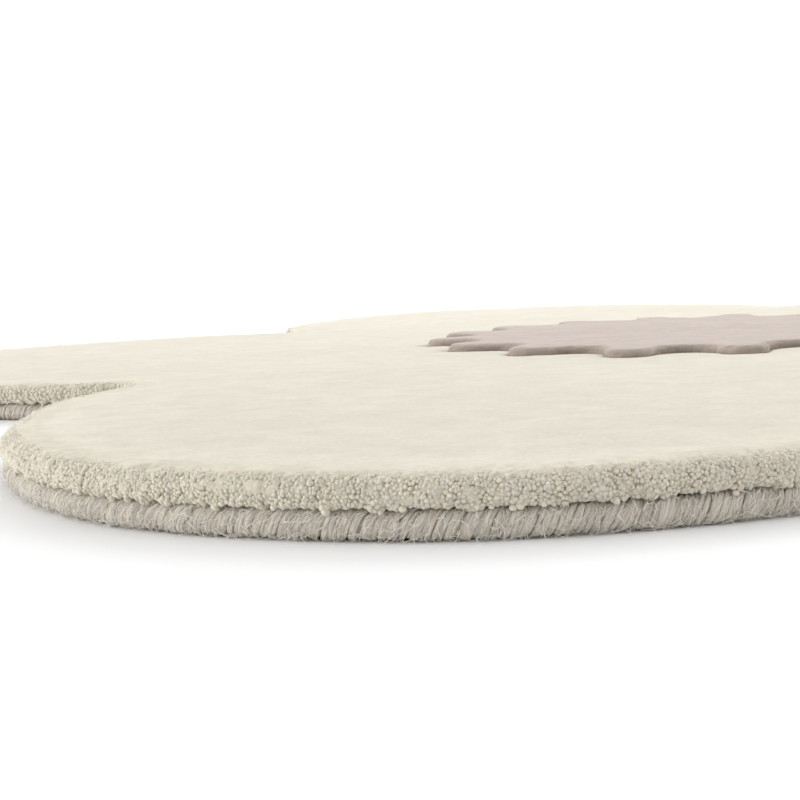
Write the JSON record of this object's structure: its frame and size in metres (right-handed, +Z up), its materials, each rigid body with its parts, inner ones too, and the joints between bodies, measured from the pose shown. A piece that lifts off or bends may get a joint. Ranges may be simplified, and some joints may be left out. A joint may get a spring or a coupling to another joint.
{
  "type": "flower shaped kids rug",
  "caption": "Flat flower shaped floor rug for a child's room, with rounded petals, dense cut wool pile, a raised scalloped flower heart and a whipped yarn edge.",
  "frame": {"origin": "middle of the rug's flat underside, on the floor", "axes": "+Z up out of the pile, -Y towards the tip of one petal, +X to the right of that petal seen from outside it"},
  "size_m": [0.9604, 0.9236, 0.0202],
  "materials": {
    "cream_wool": "matt cut wool pile, felt-like on top and granular at the edge",
    "taupe_wool": "matt cut wool pile",
    "greige_yarn": "matt hairy wool yarn in slanted wraps"
  },
  "bodies": {
    "root": {"cream_pile": "cream_wool", "taupe_heart": "taupe_wool", "yarn_whipping": "greige_yarn"}
  },
  "joints": []
}
